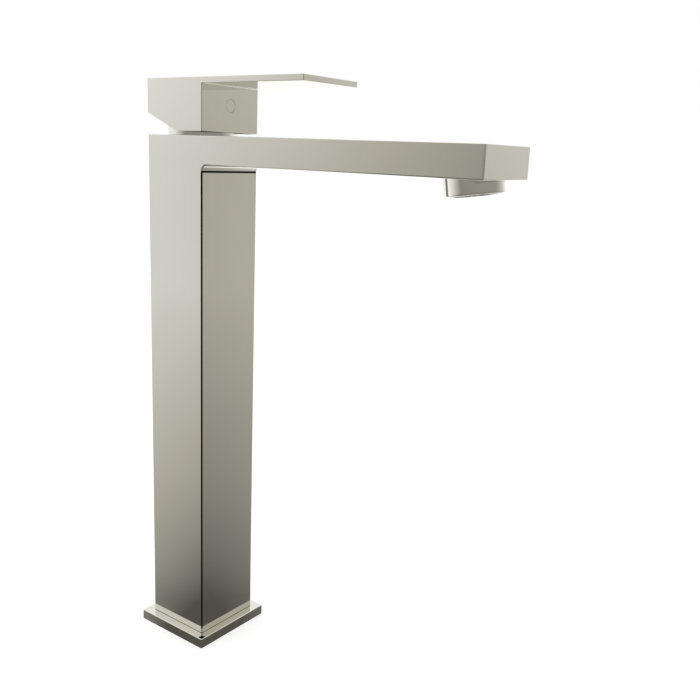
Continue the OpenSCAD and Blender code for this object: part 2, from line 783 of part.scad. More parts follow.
// Block and lever before the hub is added, in one piece
module handle_shell() {
    reach = lever_reach + half_w;
    slope_end = slope_l + cut * slope_l / slope_h;
    difference() {
        union() {
            translate([0, 0, handle_z])
                rounded_box(column_w, column_w, handle_h, handle_edge_r);
            translate([0, half_w - reach / 2, lever_z])
                rounded_box(column_w, reach, lever_t, handle_edge_r);
        }
        translate([0, 0, handle_z - cut]) linear_extrude(lever_z - handle_z + cut)
            rounded_square(handle_cavity_w, handle_cavity_w, handle_edge_r);
        translate([-half_w - cut, half_w, handle_z]) rotate([90, 0, 90])
            linear_extrude(column_w + 2 * cut)
                polygon([[cut, -cut], [-slope_end, -cut], [0, slope_h],
                    [cut, slope_h + cut * slope_h / slope_l]]);
    }
}

// Handle block with its lever, and the hub that grips the stem
module handle() {
    socket_w = stem_w + 2 * seat_gap;
    color(nickel) difference() {
        union() {
            handle_shell();
            translate([0, 0, hub_z]) plain_box(hub_w, hub_w, lever_z - hub_z + lever_t / 2);
        }
        translate([0, 0, hub_z - cut])
            plain_box(socket_w, socket_w, pivot_z + stem_up + seat_gap - hub_z + cut);
        translate([0, 0, set_screw_z]) rotate([90, 0, 0]) {
            cylinder(d = set_screw_d, h = hub_w, $fn = 48);
            translate([0, 0, half_w - handle_wall - cut])
                cylinder(d = plug_d + 2 * seat_gap, h = handle_wall + 2 * cut, $fn = 64);
        }
    }
}

// Set screw with a hexagon socket, from the front of the hub onto the stem
module handle_set_screw() {
    start = stem_w / 2 + seat_gap;
    l = (hub_w - stem_w) / 2;
    color(steel) translate([0, -start, set_screw_z]) rotate([90, 0, 0]) difference() {
        cylinder(r = set_screw_d / 2 - seat_gap, h = l, $fn = 48);
        translate([0, 0, l / 2]) cylinder(d = set_screw_d / 2, h = l, $fn = 6);
    }
}

// Round plug that closes the hole in front of the set screw, flush with the block
module index_plug() {
    color(nickel) translate([0, -half_w + handle_wall, set_screw_z]) rotate([90, 0, 0])
        cylinder(d = plug_d, h = handle_wall, $fn = 64);
}

body();
base_plate();
base_gasket();
plate_screws();
foot_block();
hot_supply_tube();
cold_supply_tube();
supply_tube_rings();
valve_block();
spout_tube();
aerator_socket();
aerator_collar();
aerator_washer();
aerator_insert();
aerator_screen();
cartridge_base();
inlet_seals();
disc_seals();
fixed_disc();
moving_disc();
disc_carrier();
cartridge_housing();
housing_ring();
rotary_guide();
pivot_pin();
stem();
bonnet_nut();
neck_ring();
neck_ring_seal();
handle();
handle_set_screw();
index_plug();
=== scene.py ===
import json
from math import cos, log10, pi, radians, sin

import bmesh
import bpy
from mathutils import Matrix, Vector

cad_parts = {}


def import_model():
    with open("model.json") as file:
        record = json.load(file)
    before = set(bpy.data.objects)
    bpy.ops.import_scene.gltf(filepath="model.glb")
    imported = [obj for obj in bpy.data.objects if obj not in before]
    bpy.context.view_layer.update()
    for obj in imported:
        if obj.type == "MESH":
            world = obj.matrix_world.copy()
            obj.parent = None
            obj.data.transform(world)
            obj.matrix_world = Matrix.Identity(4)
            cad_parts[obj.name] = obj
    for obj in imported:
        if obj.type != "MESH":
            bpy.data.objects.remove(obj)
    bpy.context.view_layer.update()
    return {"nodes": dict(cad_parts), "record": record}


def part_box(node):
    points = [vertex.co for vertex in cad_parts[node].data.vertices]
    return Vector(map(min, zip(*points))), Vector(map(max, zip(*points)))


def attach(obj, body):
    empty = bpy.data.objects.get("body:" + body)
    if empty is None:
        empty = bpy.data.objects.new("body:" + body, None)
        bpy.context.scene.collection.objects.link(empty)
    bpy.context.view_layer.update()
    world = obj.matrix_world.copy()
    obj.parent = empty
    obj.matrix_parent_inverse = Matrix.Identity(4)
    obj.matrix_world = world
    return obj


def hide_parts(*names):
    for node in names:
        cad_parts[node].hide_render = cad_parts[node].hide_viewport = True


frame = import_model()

MM = 0.001
# How far a cut runs past the face that it goes through, and how near counts as the same place
CUT, TINY = MM, 0.01 * MM
NODES = frame["nodes"]


def corners(node):
    """Lowest and highest corner of a solid's box, to the micrometre."""
    return [[round(c, 6) for c in corner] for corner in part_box(node)]


# Main sizes of the tap in metres, from the solids' boxes
PLATE_LOW, PLATE_HIGH = corners("base_plate")
BODY_LOW, BODY_HIGH = corners("body")
HANDLE_LOW, HANDLE_HIGH = corners("handle")
BASE_W, BASE_T = PLATE_HIGH[0] - PLATE_LOW[0], PLATE_HIGH[2]
HALF, BODY_TOP, REACH = BODY_HIGH[0], BODY_HIGH[2], -BODY_LOW[1]
HANDLE_Z, HANDLE_TOP, LEVER_REACH = HANDLE_LOW[2], HANDLE_HIGH[2], -HANDLE_LOW[1]
RING_TOP = corners("neck_ring")[1][2]
# Underside of the spout, and the rounded edges of plate, column and spout
SPOUT_Z, BASE_R, CORNER_R = 267.35 * MM, 0.5 * MM, 0.8 * MM
EDGE_R, FOOT_R, FILLET_R = 0.35 * MM, 0.2 * MM, 3.5 * MM
# Joint line under the spout, its groove and the near black strip in it, which paints the groove's shade
SEAM_Z, SEAM_H, SEAM_SUNK = 263.9 * MM, 1.1 * MM, 0.12 * MM
SEAM_GROOVE, SEAM_BACK = 0.5 * MM, 0.9 * MM
# Plate: the bore with the skin left over it, the gasket's groove and the countersunk holes
PLATE_BORE_R, PLATE_SKIN = 15.05 * MM, 0.4 * MM
GASKET_IN_R, GASKET_OUT_R, GASKET_DEEP = 21.9 * MM, 23.9 * MM, 1.5 * MM
SCREW_AT, SCREW_HEAD_R, SCREW_R = 13.3 * MM, 2.65 * MM, 1.55 * MM
SCREW_RIM, SCREW_SINK, SCREW_DEEP = 0.3 * MM, 1.9 * MM, 5 * MM
# Neck ring
RING_R, RING_LIP_R, RING_ROUND, RING_WALL = 18.06 * MM, 12.7 * MM, 1.5 * MM, 1.26 * MM
RING_SEAT, RING_RIM, RING_CHAMFER = 6.45 * MM, 0.15 * MM, 0.2 * MM
# Handle: wall, rounded edges, lever, slope at the back, hub and stem socket, set screw and plug
HANDLE_WALL, HANDLE_R, HANDLE_FILLET, LEVER_Z = 1.3 * MM, 0.4 * MM, 0.6 * MM, 306.7 * MM
SLOPE_H, SLOPE_L = 8.8 * MM, 21.3 * MM
HUB_W, HUB_Z, HUB_R, STEM_W, STEM_TOP = 13 * MM, 294.2 * MM, 0.3 * MM, 8.1 * MM, 303.95 * MM
SET_SCREW_R, SET_SCREW_DEEP = 2 * MM, 12 * MM
PLUG_R, PLUG_Z, PLUG_FIT, PLUG_SEAT, PLUG_RIM = 3.3 * MM, 297 * MM, 0.05 * MM, 3 * MM, 0.12 * MM
# Aerator collar: its axis, its seat in the spout, its own steps and its key notches
AERATOR_Y, AERATOR_TILT = -163.4 * MM, radians(9)
COLLAR_FIT, SEAT_BELOW, SEAT_ABOVE = 0.15 * MM, 4 * MM, 6 * MM
COLLAR_R, COLLAR_DROP, COLLAR_BORE_R, COLLAR_LIP = 13.05 * MM, 7 * MM, 10.3 * MM, 0.7 * MM
COLLAR_EDGE, COLLAR_LAND, COLLAR_NECK_R = 0.1 * MM, 0.12 * MM, 11.95 * MM
COLLAR_SHOULDER, COLLAR_TOP = 2.5 * MM, 5.4 * MM
NOTCH_IN, NOTCH_OUT, NOTCH_HALF, NOTCH_DEEP = 1.6 * MM, 0.9 * MM, 1.1 * MM, 0.45 * MM
# Threads of the foot: name, x, y, radius, pitch and length in mm, then their start and their section
THREADS = [("hot_inlet_thread", -7, -4, 4.5, 1.0, 10.5), ("cold_inlet_thread", 7, -4, 4.5, 1.0, 10.5),
           ("stud_thread", 0, 8.5, 3.4, 1.25, 14.5)]
THREAD_START, DEPTH_SHARE, FLANK_SHARE, CREST_SHARE = 1.2 * MM, 0.45, 0.42, 0.06
# Edges sharper than this are rounded, faces this close to an axis are flat, and faces this close blend
SHARP, FLAT_DOT, BLEND_DOT = radians(40), 0.999995, 0.80
# Points of a carved mesh that are closer than this are joined
WELD = 1e-7


# Materials
def material(name, metallic=0.0, ior=1.5):
    """A new material, its node tree and its principled shader."""
    mat = bpy.data.materials.new(name)
    mat.use_nodes = True
    tree = mat.node_tree
    bsdf = tree.nodes["Principled BSDF"]
    bsdf.inputs["Metallic"].default_value = metallic
    bsdf.inputs["IOR"].default_value = ior
    return mat, tree, bsdf


def bare_material(name):
    """A new material and its empty node tree."""
    mat = bpy.data.materials.new(name)
    mat.use_nodes = True
    mat.node_tree.nodes.clear()
    return mat, mat.node_tree


def add(tree, kind, inputs=(), **settings):
    """A node with its settings, and its inputs set to numbers or joined to sockets."""
    node = tree.nodes.new(kind)
    for key, value in settings.items():
        setattr(node, key, value)
    for key, value in dict(inputs).items():
        if isinstance(value, bpy.types.NodeSocket):
            tree.links.new(value, node.inputs[key])
        else:
            node.inputs[key].default_value = value
    return node


def ramp(tree, value, stops):
    """A colour ramp whose stops are (place, colour or grey)."""
    node = add(tree, "ShaderNodeValToRGB", {"Fac": value})
    elements = node.color_ramp.elements
    while len(elements) < len(stops):
        elements.new(0.5)
    for element, (place, colour) in zip(elements, stops):
        element.position = place
    for element, (place, colour) in zip(elements, stops):
        colour = (colour,) * 3 if isinstance(colour, (int, float)) else colour
        element.color = (*colour, 1)
    return node.outputs["Color"]


def noise(tree, scale, detail=3.0, rough=0.5, stretch=(1, 1, 1), distortion=0.0):
    """Noise in the object's own metres."""
    where = add(tree, "ShaderNodeTexCoord").outputs["Object"]
    placed = add(tree, "ShaderNodeMapping", {"Vector": where, "Scale": stretch}).outputs[0]
    return add(tree, "ShaderNodeTexNoise", {"Vector": placed, "Scale": scale, "Detail": detail,
               "Roughness": rough, "Distortion": distortion}).outputs["Fac"]


def between(tree, value, low, high, out_low, out_high):
    """Value stretched from one span to another, kept inside it."""
    return add(tree, "ShaderNodeMapRange", {"Value": value, "From Min": low, "From Max": high,
               "To Min": out_low, "To Max": out_high}).outputs["Result"]


def bump(tree, bsdf, height, strength, distance):
    """A bump on the shader's normal."""
    node = add(tree, "ShaderNodeBump", {"Height": height, "Strength": strength, "Distance": distance})
    tree.links.new(node.outputs["Normal"], bsdf.inputs["Normal"])


def nickel():
    """Polished warm nickel: faint tone clouds, a soft wipe pattern in the gloss, slight waviness."""
    mat, tree, bsdf = material("nickel_polished", metallic=1.0)
    clouds = noise(tree, 22, detail=4)
    tone = ramp(tree, clouds, [(0.30, (0.775, 0.764, 0.702)), (0.70, (0.805, 0.796, 0.738))])
    tree.links.new(tone, bsdf.inputs["Base Color"])
    wipes = noise(tree, 60, detail=5, rough=0.6, stretch=(1, 1, 0.25), distortion=0.6)
    hairs = noise(tree, 900, detail=2, stretch=(1, 1, 0.04))
    both = add(tree, "ShaderNodeMath", {0: wipes, 1: between(tree, hairs, 0.55, 0.8, 0, 0.35)},
               operation="ADD").outputs[0]
    tree.links.new(between(tree, both, 0.35, 0.95, 0.02, 0.055), bsdf.inputs["Roughness"])
    bump(tree, bsdf, noise(tree, 55, detail=1), strength=0.12, distance=2e-5)
    return mat


def machined(name, dark, light, rough, scale, metallic=1.0, specular=0.5):
    """Turned, drawn or cast metal: fine cutting rings, and patches of a darker tone."""
    mat, tree, bsdf = material(name, metallic=metallic)
    bsdf.inputs["Specular IOR Level"].default_value = specular
    tone = ramp(tree, noise(tree, scale, detail=6, rough=0.65), [(0.32, dark), (0.66, light)])
    tree.links.new(tone, bsdf.inputs["Base Color"])
    where = add(tree, "ShaderNodeTexCoord").outputs["Object"]
    cuts = add(tree, "ShaderNodeTexWave", {"Vector": where, "Scale": 900, "Distortion": 1.5,
               "Detail": 2.0}, wave_type="RINGS", rings_direction="Z").outputs["Fac"]
    tree.links.new(between(tree, noise(tree, scale * 6, detail=4), 0.3, 0.7, rough * 0.75, rough * 1.4),
                   bsdf.inputs["Roughness"])
    bump(tree, bsdf, cuts, strength=0.25, distance=1.2e-5)
    return mat


def steel():
    """Plain stainless steel with fine drawn lines."""
    mat, tree, bsdf = material("steel_plain", metallic=1.0)
    tone = ramp(tree, noise(tree, 260, detail=5), [(0.3, (0.50, 0.51, 0.52)), (0.7, (0.66, 0.67, 0.68))])
    tree.links.new(tone, bsdf.inputs["Base Color"])
    lines = noise(tree, 2600, detail=3, stretch=(1, 1, 0.05))
    tree.links.new(between(tree, lines, 0.3, 0.7, 0.16, 0.34), bsdf.inputs["Roughness"])
    bump(tree, bsdf, lines, strength=0.2, distance=6e-6)
    return mat


def rubber():
    """Moulded black rubber with a fine grain and a little bloom."""
    mat, tree, bsdf = material("rubber_moulded")
    bloom = noise(tree, 190, detail=6, rough=0.7)
    tone = ramp(tree, bloom, [(0.35, (0.016, 0.016, 0.017)), (0.75, (0.055, 0.055, 0.057))])
    tree.links.new(tone, bsdf.inputs["Base Color"])
    tree.links.new(between(tree, bloom, 0.3, 0.7, 0.55, 0.8), bsdf.inputs["Roughness"])
    bump(tree, bsdf, noise(tree, 5200, detail=3), strength=0.35, distance=2e-5)
    return mat


def ceramic():
    """Lapped white ceramic: near mirror flat, with faint grey mottling."""
    mat, tree, bsdf = material("ceramic_lapped", ior=1.65)
    tone = ramp(tree, noise(tree, 420, detail=7, rough=0.7),
                [(0.3, (0.72, 0.72, 0.69)), (0.7, (0.86, 0.86, 0.83))])
    tree.links.new(tone, bsdf.inputs["Base Color"])
    tree.links.new(between(tree, noise(tree, 1500), 0.3, 0.7, 0.10, 0.2), bsdf.inputs["Roughness"])
    bump(tree, bsdf, noise(tree, 2400, detail=4), strength=0.1, distance=4e-6)
    return mat


def plastic(name, dark, light, rough):
    """Moulded plastic: slight sink tone, satin grain."""
    mat, tree, bsdf = material(name, ior=1.49)
    tone = ramp(tree, noise(tree, 140, detail=3), [(0.3, dark), (0.7, light)])
    tree.links.new(tone, bsdf.inputs["Base Color"])
    bsdf.inputs["Subsurface Weight"].default_value = 0.06
    bsdf.inputs["Subsurface Radius"].default_value = (0.001, 0.001, 0.001)
    tree.links.new(between(tree, noise(tree, 900, detail=4), 0.3, 0.7, rough * 0.8, rough * 1.25),
                   bsdf.inputs["Roughness"])
    bump(tree, bsdf, noise(tree, 3800, detail=2), strength=0.25, distance=1e-5)
    return mat


FINISH = {
    "nickel": nickel(),
    "brass": machined("brass_machined", (0.50, 0.33, 0.12), (0.72, 0.53, 0.24), rough=0.26, scale=90),
    "copper": machined("copper_drawn", (0.50, 0.20, 0.11), (0.78, 0.40, 0.26), rough=0.24, scale=70),
    "steel": steel(),
    "rubber": rubber(),
    "ceramic": ceramic(),
    "pale_plastic": plastic("plastic_pale", (0.66, 0.66, 0.62), (0.76, 0.76, 0.73), rough=0.42),
    "grey_plastic": plastic("plastic_grey", (0.16, 0.17, 0.19), (0.21, 0.225, 0.25), rough=0.45),
}
# Two finishes outside the record's slots: bare inner faces, near black as painted shade, which also paints a
# contact shadow round the column's foot; and the strip under the spout
PAINTED_SHADE = machined("painted_shade_dark", (0.012, 0.011, 0.010), (0.030, 0.028, 0.025), rough=0.6, scale=160,
               metallic=0.0, specular=0.05)
# Near black strip for the joint groove under the spout: painted shade of the gap
SEAM_PAINTED_SHADE = machined("seam_painted_shade", (0.012, 0.010, 0.008), (0.035, 0.031, 0.026), rough=0.34, scale=300)
SLOT_OF = {row["node"]: row["material_slot"] for row in frame["record"]["subparts"]}
BODY_OF = {node: body for body, names in frame["record"]["behaviour"]["bodies"].items() for node in names}

for name, obj in NODES.items():
    obj.data.materials.clear()
    obj.data.materials.append(FINISH[SLOT_OF[name]])


# Mesh helpers
def prism(profile, half):
    """Closed prism along X, from a loop of (y, z) points that runs anticlockwise seen from +X."""
    bm = bmesh.new()
    ends = [[bm.verts.new((x, y, z)) for y, z in profile] for x in (-half, half)]
    bm.faces.new(ends[1])
    bm.faces.new(list(reversed(ends[0])))
    for i in range(len(profile)):
        j = (i + 1) % len(profile)
        bm.faces.new((ends[0][i], ends[0][j], ends[1][j], ends[1][i]))
    bmesh.ops.recalc_face_normals(bm, faces=bm.faces)
    return bm


def box(low, high):
    """Closed box between two corners."""
    (x0, y0, z0), (x1, y1, z1) = low, high
    bm = prism([(y0, z0), (y1, z0), (y1, z1), (y0, z1)], (x1 - x0) / 2)
    bmesh.ops.translate(bm, verts=bm.verts, vec=((x0 + x1) / 2, 0, 0))
    return bm


def ring(bm, r, z, angles):
    """Vertices on a circle about Z, or the one on the axis."""
    if r < TINY:
        return [bm.verts.new((0, 0, z))]
    return [bm.verts.new((r * cos(a), r * sin(a), z)) for a in angles]


def lathe(profile, steps):
    """Solid of revolution about Z, from (r, z) points; a closed loop unless both ends lie on the axis."""
    bm = bmesh.new()
    angles = [2 * pi * i / steps for i in range(steps)]
    rings = [ring(bm, r, z, angles) for r, z in profile]
    pairs = list(zip(rings, rings[1:]))
    if len(rings[0]) > 1:
        pairs.append((rings[-1], rings[0]))
    for a, b in pairs:
        for i in range(steps):
            j = (i + 1) % steps
            face = [a[i % len(a)], a[j % len(a)], b[j % len(b)], b[i % len(b)]]
            face = [v for k, v in enumerate(face) if v not in face[:k]]
            if len(face) > 2:
                bm.faces.new(face)
    bmesh.ops.recalc_face_normals(bm, faces=bm.faces)
    return bm


def drill(r, low, high, steps):
    """Closed cylinder about Z between two heights, for a round hole."""
    return lathe([(0, low), (r, low), (r, high), (0, high)], steps)


def arc(cy, cz, r, start, end, steps):
    """Points of a circular arc, in degrees."""
    return [(cy + r * cos(radians(start + (end - start) * i / steps)),
             cz + r * sin(radians(start + (end - start) * i / steps))) for i in range(steps + 1)]


def round_edges(bm, radius, keep, segments=6):
    """Rounds every sharp outer edge that keep doesn't turn down."""
    edges = [e for e in bm.edges if e.calc_face_angle(0) > SHARP and e.is_convex and keep(e)]
    bmesh.ops.bevel(bm, geom=edges, offset=radius, segments=segments, profile=0.5, affect="EDGES",
                    clamp_overlap=True)


def place(bm, matrix):
    """The same mesh, moved by a matrix."""
    bmesh.ops.transform(bm, matrix=matrix, verts=bm.verts)
    return bm


def object_of(name, bm):
    """A scene object from a mesh under construction, which it uses up."""
    mesh = bpy.data.meshes.new(name)
    bm.to_mesh(mesh)
    bm.free()
    obj = bpy.data.objects.new(name, mesh)
    bpy.context.scene.collection.objects.link(obj)
    return obj


def carve(bm, cuts, add_on=()):
    """The mesh with other closed meshes cut out of it or joined to it."""
    target = object_of("carve_target", bm)
    tools = []
    for kind, group in (("UNION", add_on), ("DIFFERENCE", cuts)):
        for tool in group:
            other = object_of("carve_tool", tool)
            other.hide_render = True
            tools.append(other)
            step = target.modifiers.new("carve", "BOOLEAN")
            step.operation, step.object, step.solver = kind, other, "EXACT"
    bpy.context.view_layer.update()
    result = bmesh.new()
    result.from_mesh(target.evaluated_get(bpy.context.evaluated_depsgraph_get()).to_mesh())
    for obj in (target, *tools):
        bpy.data.objects.remove(obj)
    bmesh.ops.remove_doubles(result, verts=result.verts, dist=WELD)
    return result


def harden(mesh, axes):
    """Flat faces keep their own normal, and rounded edges run into it without a seam."""
    bm = bmesh.new()
    bm.from_mesh(mesh)
    bm.normal_update()
    flat = {f.index: any(abs(f.normal.dot(a)) > FLAT_DOT for a in axes) for f in bm.faces}
    normals = []
    for face in bm.faces:
        for loop in face.loops:
            if flat[face.index]:
                normals.append(face.normal.copy())
                continue
            near = [f for f in loop.vert.link_faces if f.normal.dot(face.normal) > BLEND_DOT]
            level = [f for f in near if flat[f.index]]
            if level:
                normals.append(max(level, key=lambda f: f.normal.dot(face.normal)).normal.copy())
            else:
                total = Vector()
                for f in near:
                    corner = [c for c in f.loops if c.vert == loop.vert][0]
                    total += f.normal * corner.calc_angle()
                normals.append(total.normalized())
    bm.free()
    mesh.polygons.foreach_set("use_smooth", [True] * len(mesh.polygons))
    mesh.normals_split_custom_set(normals)


AXES = [Vector((1, 0, 0)), Vector((0, 1, 0)), Vector((0, 0, 1))]


def piece(name, bm, node, stands_for=True, axes=AXES, finish=None):
    """A finished piece of the tap, in the node's place, on its body, with its finish."""
    slot = SLOT_OF[node]
    obj = object_of(name, bm)
    harden(obj.data, axes)
    obj.data.materials.append(finish or FINISH[slot])
    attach(obj, BODY_OF[node])
    if stands_for:
        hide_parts(node)
    return obj


ON_AERATOR = Matrix.Translation((0, AERATOR_Y, SPOUT_Z)) @ Matrix.Rotation(-AERATOR_TILT, 4, "X")


# Body, plate and neck
def body_shell():
    """Column and spout in one shell, with the collar's seat, the joint line and the near black strip in its
    groove, painted shade.
    """
    inner = arc(-HALF - FILLET_R, SPOUT_Z - FILLET_R, FILLET_R, 0, 90, 12)
    profile = [(HALF, BASE_T), (HALF, BODY_TOP), (-REACH, BODY_TOP), (-REACH, SPOUT_Z)]
    profile += [*reversed(inner), (-HALF, BASE_T)]
    bm = prism(profile, HALF)
    low = lambda e: all(v.co.z < BASE_T + TINY for v in e.verts)
    top = lambda e: all(v.co.z > BODY_TOP - TINY for v in e.verts)
    round_edges(bm, CORNER_R, lambda e: not low(e) and not top(e))
    round_edges(bm, EDGE_R, top)
    round_edges(bm, FOOT_R, low, 3)
    hole = place(drill(COLLAR_R + COLLAR_FIT, -SEAT_BELOW, SEAT_ABOVE, 128), ON_AERATOR)
    y, z, h = -HALF, SEAM_Z, SEAM_H / 2
    deep = y + SEAM_GROOVE
    groove = prism([(y - CUT, z - h), (deep, z - h), (deep, z + h), (y - CUT, z + h)], HALF + CUT)
    obj = piece("body_shell", carve(bm, [hole, groove]), "body")
    # The column's foot takes the near black finish: a painted contact shadow where the column meets the
    # plate
    obj.data.materials.append(PAINTED_SHADE)
    for face in obj.data.polygons:
        if face.center.z < BASE_T + FOOT_R:
            face.material_index = 1
    # Near black strip sunk in the joint groove: painted shade of the gap
    line = box((-HALF + SEAM_SUNK, y + SEAM_SUNK, z - h), (HALF - SEAM_SUNK, y + SEAM_BACK, z + h))
    round_edges(line, CORNER_R - SEAM_SUNK, lambda e: all(v.co.y < deep for v in e.verts)
                and abs(e.verts[0].co.z - e.verts[1].co.z) > h)
    piece("spout_seam", line, "body", stands_for=False, finish=SEAM_PAINTED_SHADE)


def base_plate_rounded():
    """Square plate with its bore, the gasket's groove and the four screw holes."""
    h = BASE_W / 2
    bm = box((-h, -h, 0), (h, h, BASE_T))
    round_edges(bm, BASE_R, lambda e: True, 5)
    bore = drill(PLATE_BORE_R, -CUT, BASE_T - PLATE_SKIN, 128)
    groove = lathe([(GASKET_IN_R, -CUT), (GASKET_OUT_R, -CUT), (GASKET_OUT_R, GASKET_DEEP),
                    (GASKET_IN_R, GASKET_DEEP)], 128)
    holes = []
    for x in (-1, 1):
        for y in (-1, 1):
            hole = lathe([(0, -CUT), (SCREW_HEAD_R, -CUT), (SCREW_HEAD_R, SCREW_RIM), (SCREW_R, SCREW_SINK),
                          (SCREW_R, SCREW_DEEP), (0, SCREW_DEEP)], 40)
            holes.append(place(hole, Matrix.Translation((x * SCREW_AT, y * SCREW_AT, 0))))
    piece("base_plate_rounded", carve(bm, [bore, groove, *holes]), "base_plate")


def neck_ring_polished():
    """Round neck under the handle, turned in one piece."""
    foot, top, out = BODY_TOP, RING_TOP, RING_R
    profile = [(RING_LIP_R, foot + RING_SEAT), (out - RING_WALL, foot + RING_SEAT), (out - RING_WALL, foot),
               (out - RING_RIM, foot), (out, foot + RING_RIM), (out, top - RING_ROUND - RING_RIM)]
    profile += arc(out - RING_ROUND, top - RING_ROUND, RING_ROUND, 0, 90, 8)
    profile += [(RING_LIP_R + RING_CHAMFER, top), (RING_LIP_R, top - RING_CHAMFER)]
    piece("neck_ring_polished", lathe(profile, 160), "neck_ring")


# Handle
def handle_block():
    """Hollow block and flat lever, with the hub for the stem and the holes for set screw and plug."""
    cavity = HALF - HANDLE_WALL
    profile = [(-HALF, HANDLE_Z), (HALF - SLOPE_L, HANDLE_Z), (HALF, HANDLE_Z + SLOPE_H), (HALF, HANDLE_TOP),
               (-LEVER_REACH, HANDLE_TOP), (-LEVER_REACH, LEVER_Z)]
    r = HANDLE_FILLET
    profile += reversed(arc(-HALF - r, LEVER_Z - r, r, 0, 90, 6))
    bm = prism(profile, HALF)
    round_edges(bm, HANDLE_R, lambda e: True, 5)
    hollow = box((-cavity, -cavity, HANDLE_Z - CUT), (cavity, cavity, LEVER_Z))
    hub = box((-HUB_W / 2, -HUB_W / 2, HUB_Z), (HUB_W / 2, HUB_W / 2, LEVER_Z + CUT))
    round_edges(hub, HUB_R, lambda e: True, 2)
    socket = box((-STEM_W / 2, -STEM_W / 2, HUB_Z - CUT), (STEM_W / 2, STEM_W / 2, STEM_TOP))
    turn = Matrix.Translation((0, 0, PLUG_Z)) @ Matrix.Rotation(pi / 2, 4, "X")
    screw_hole = place(drill(SET_SCREW_R, 0, SET_SCREW_DEEP, 40), turn)
    plug_hole = place(drill(PLUG_R + PLUG_FIT, HALF - PLUG_SEAT, HALF + CUT, 72), turn)
    shell = carve(bm, [hollow])
    whole = carve(shell, [socket, screw_hole, plug_hole], [hub])
    slope = Vector((0, SLOPE_H, -SLOPE_L)).normalized()
    obj = piece("handle_block", whole, "handle", axes=AXES + [slope])
    # Inner faces of the hollow and the block's underside take the near black finish: bare inner metal,
    # darkened as painted shade under the block
    obj.data.materials.append(PAINTED_SHADE)
    for face in obj.data.polygons:
        x, y, z = face.center
        inside = max(abs(x), abs(y)) < cavity + TINY and z < LEVER_Z + TINY
        if inside or z < HANDLE_Z + TINY:
            face.material_index = 1


def index_plug_turned():
    """Flush round plug: flat, with a fine chamfered rim."""
    face, rim = HANDLE_WALL, PLUG_RIM
    bm = lathe([(0, 0), (PLUG_R, 0), (PLUG_R, face - rim), (PLUG_R - rim, face), (0, face)], 72)
    place(bm, Matrix.Translation((0, -HALF + HANDLE_WALL, PLUG_Z)) @ Matrix.Rotation(pi / 2, 4, "X"))
    piece("index_plug_turned", bm, "index_plug")


# Aerator
def aerator_collar_polished():
    """Tilted round collar with a rolled lip and four key notches."""
    r, inner, lip, low = COLLAR_R, COLLAR_BORE_R, COLLAR_LIP, -COLLAR_DROP
    profile = [(inner - lip, low + COLLAR_EDGE), (inner - lip + COLLAR_EDGE, low)]
    profile += arc(r - lip, low + lip, lip, -90, 0, 8)
    profile += [(r, low + lip + COLLAR_LAND), (r, COLLAR_SHOULDER), (COLLAR_NECK_R, COLLAR_SHOULDER),
                (COLLAR_NECK_R, COLLAR_TOP), (inner, COLLAR_TOP), (inner, low + lip),
                (inner - lip, low + lip)]
    bm = lathe(profile, 144)
    notches = []
    for i in range(4):
        notch = box((inner - NOTCH_IN, -NOTCH_HALF, low - CUT),
                    (inner + NOTCH_OUT, NOTCH_HALF, low + NOTCH_DEEP))
        notches.append(place(notch, Matrix.Rotation(pi / 4 + i * pi / 2, 4, "Z")))
    bm = place(carve(bm, notches), ON_AERATOR)
    piece("aerator_collar_polished", bm, "aerator_collar",
          axes=AXES[:1] + [(ON_AERATOR.to_3x3() @ Vector((0, 0, 1))).normalized()])


# Threads in the foot
def thread(radius, pitch, length, steps=40):
    """Helical ridge of a triangular thread, standing inwards from a wall of that radius."""
    bm = bmesh.new()
    rows = []
    turns = int(length / pitch * steps)
    depth, flank, flat = pitch * DEPTH_SHARE, pitch * FLANK_SHARE, pitch * CREST_SHARE
    for i in range(turns + 1):
        z = THREAD_START + pitch * i / steps
        crest = radius - depth * min(1, i / steps, (turns - i) / steps)
        section = [(radius, z - flank), (crest, z - flat), (crest, z + flat), (radius, z + flank)]
        rows.append([ring(bm, r, height, [2 * pi * i / steps])[0] for r, height in section])
    for p, q in zip(rows, rows[1:]):
        for k in range(4):
            bm.faces.new((p[k], p[(k + 1) % 4], q[(k + 1) % 4], q[k]))
    bm.faces.new(rows[0])
    bm.faces.new(list(reversed(rows[-1])))
    bmesh.ops.recalc_face_normals(bm, faces=bm.faces)
    return bm


def foot_threads():
    """Real thread ridges in the inlets and the stud's hole."""
    for name, x, y, r, pitch, length in THREADS:
        bm = thread(r * MM, pitch * MM, length * MM)
        place(bm, Matrix.Translation((x * MM, y * MM, 0)))
        piece(name, bm, "foot_block", stands_for=False, axes=[])


body_shell()
base_plate_rounded()
neck_ring_polished()
handle_block()
index_plug_turned()
aerator_collar_polished()
foot_threads()


# Camera

# Solved from the photo's edges: direction and tilt in degrees, distance and offsets in mm, and the lens
CAMERA_AZ, CAMERA_EL, CAMERA_ROLL = -53.568, 13.092, 2.318
CAMERA_BACK, CAMERA_RIGHT, CAMERA_UP = 510.914, 88.865, 160.858
LENS, SENSOR, CLIP_START, CLIP_END = 43.43, 36, 0.01, 60


